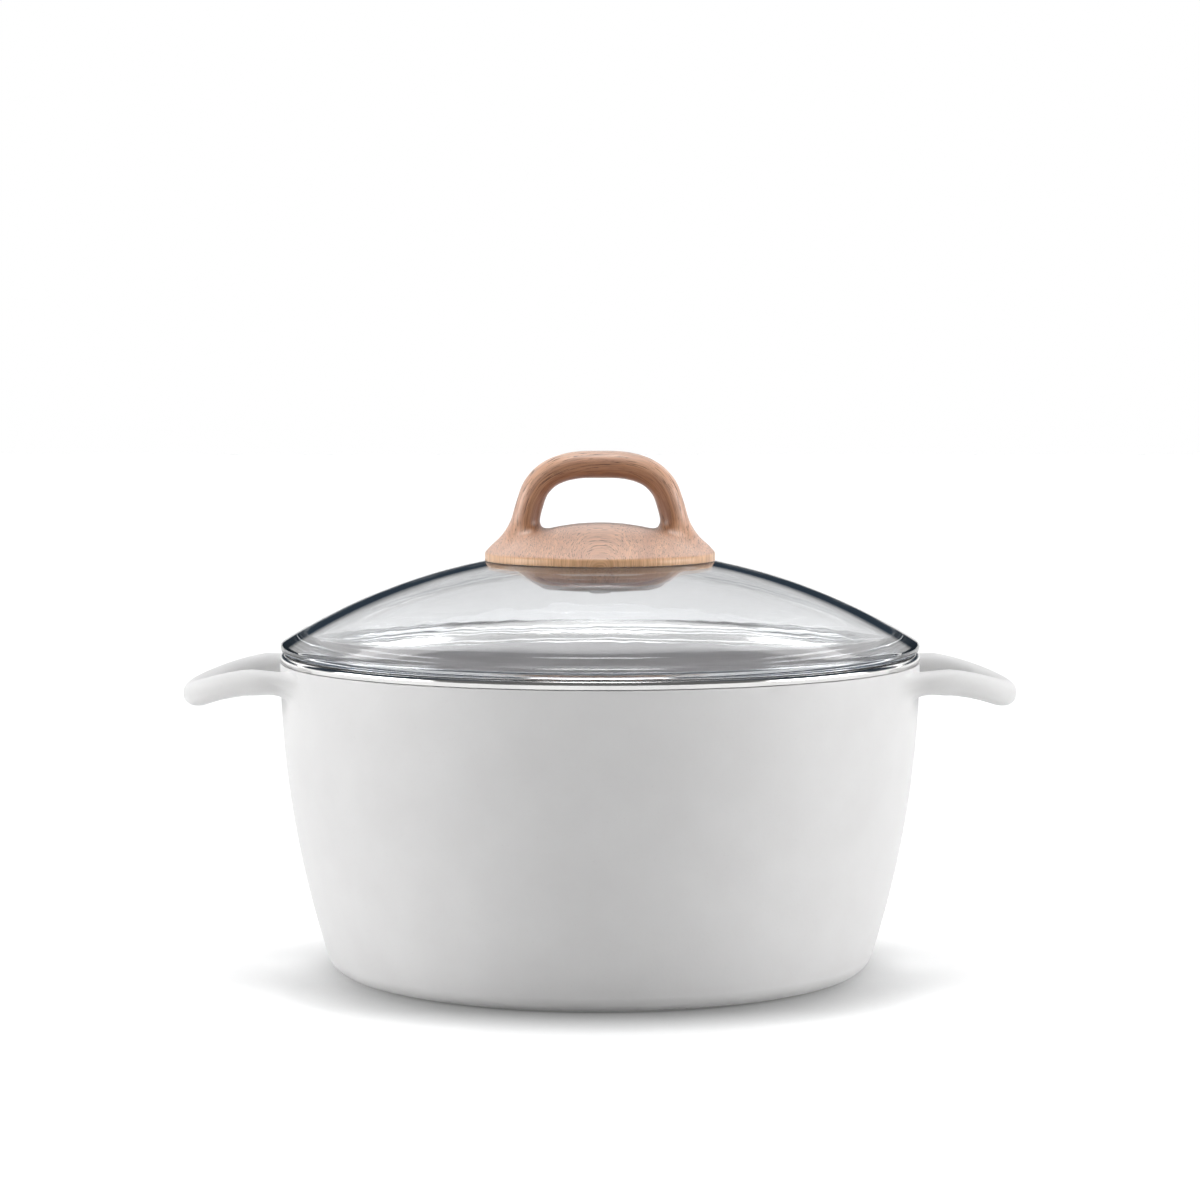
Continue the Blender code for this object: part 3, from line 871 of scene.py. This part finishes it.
def make_world():
    """Lights laid out on the sky by direction, with dark in between.

    They are the two sides, a low wall all round, a bowed light behind with a brighter strip along
    its top, a faint one in front and a soft one overhead. The dark stretches give the glass its
    outline. The camera itself sees plain white.
    """
    world = bpy.data.worlds.new("studio")
    bpy.context.scene.world = world
    world.use_nodes = True
    tree = world.node_tree
    background = tree.nodes["Background"]
    coords = tree.nodes.new("ShaderNodeTexCoord")
    split = tree.nodes.new("ShaderNodeSeparateXYZ")
    tree.links.new(coords.outputs["Generated"], split.inputs[0])
    x, y, z = split.outputs

    def math_node(operation, *values):
        node = tree.nodes.new("ShaderNodeMath")
        node.operation = operation
        for i, value in enumerate(values):
            if isinstance(value, (int, float)):
                node.inputs[i].default_value = value
            else:
                tree.links.new(value, node.inputs[i])
        return node.outputs[0]

    def ramp(value, low, high, to_low, to_high):
        node = tree.nodes.new("ShaderNodeMapRange")
        node.interpolation_type = "SMOOTHSTEP"
        tree.links.new(value, node.inputs["Value"])
        for key, number in (("From Min", low), ("From Max", high), ("To Min", to_low), ("To Max", to_high)):
            node.inputs[key].default_value = number
        return node.outputs["Result"]

    across = math_node("ABSOLUTE", x)
    level = math_node("SQRT", math_node("SUBTRACT", 1.0001, math_node("MULTIPLY", z, z)))
    towards_side = math_node("SUBTRACT", math_node("MULTIPLY", across, math.cos(SIDE_TURN)),
                             math_node("MULTIPLY", y, math.sin(SIDE_TURN)))
    side_turn = math_node("DIVIDE", towards_side, level)
    sides = math_node("MULTIPLY", ramp(side_turn, *SIDE_EDGE, 0.0, SIDE_LIGHT), ramp(z, *SIDE_Z, 1.0, 0.0))
    wall = ramp(z, *WALL_Z, WALL_LIGHT, DARK)
    bowed = math_node("ADD", z, math_node("MULTIPLY", math_node("MULTIPLY", x, x), BACK_BOW))
    behind = math_node("MULTIPLY", ramp(bowed, BACK_Z[1] - 0.015, BACK_Z[1] + 0.005, 1.0, 0.0),
                       ramp(y, 0.0, 0.3, 0.0, 1.0))
    back = math_node("MULTIPLY", ramp(across, *BACK_X, *BACK_LIGHT),
                     ramp(z, BACK_Z[0] - 0.02, BACK_Z[0] + 0.06, 0.0, 1.0))
    back = math_node("MULTIPLY", behind, back)
    strip = math_node("MULTIPLY", behind, ramp(bowed, STRIP_Z[0] - 0.01, STRIP_Z[0] + 0.01, 0.0, 1.0))
    strip_light = ramp(bowed, STRIP_Z[1] - 0.01, STRIP_Z[1] + 0.01, *STRIP_LIGHT)
    strip = math_node("MULTIPLY", strip, strip_light)
    front = ramp(y, -0.3, 0.0, FRONT_LIGHT, 0.0)
    overhead = ramp(z, *TOP_Z, 0.0, TOP_LIGHT)
    total = sides
    for light in (wall, back, front, overhead, strip):
        total = math_node("MAXIMUM", total, light)
    seen = tree.nodes.new("ShaderNodeLightPath").outputs["Is Camera Ray"]
    strength = math_node("MAXIMUM", total, seen)
    tree.links.new(strength, background.inputs["Strength"])
    shade = tree.nodes.new("ShaderNodeMix")
    shade.data_type = "RGBA"
    untinted = math_node("MAXIMUM", ramp(strength, 0.05, 0.30, 0.0, 1.0), ramp(y, -0.3, 0.0, 1.0, 0.0))
    tree.links.new(untinted, shade.inputs[0])
    shade.inputs[6].default_value = (*DARK_TINT, 1.0)
    shade.inputs[7].default_value = (1.0, 1.0, 1.0, 1.0)
    tree.links.new(shade.outputs[2], background.inputs["Color"])


def make_camera():
    """Long lens in front, a little above the handle and tipped down."""
    data = bpy.data.cameras.new("camera")
    data.lens = CAMERA_LENS
    data.sensor_width = 36.0
    data.clip_end = 20.0
    camera = bpy.data.objects.new("camera", data)
    camera.location = CAMERA_PLACE
    camera.rotation_euler = (math.radians(90.0) - CAMERA_TILT, 0.0, 0.0)
    bpy.context.scene.collection.objects.link(camera)
    bpy.context.scene.camera = camera


make_camera()
make_pot()
make_glass()
make_handle()
dress_small_pieces()
make_floor()
make_world()
bpy.context.scene.view_settings.view_transform = "Standard"
bpy.context.scene.view_settings.look = "None"
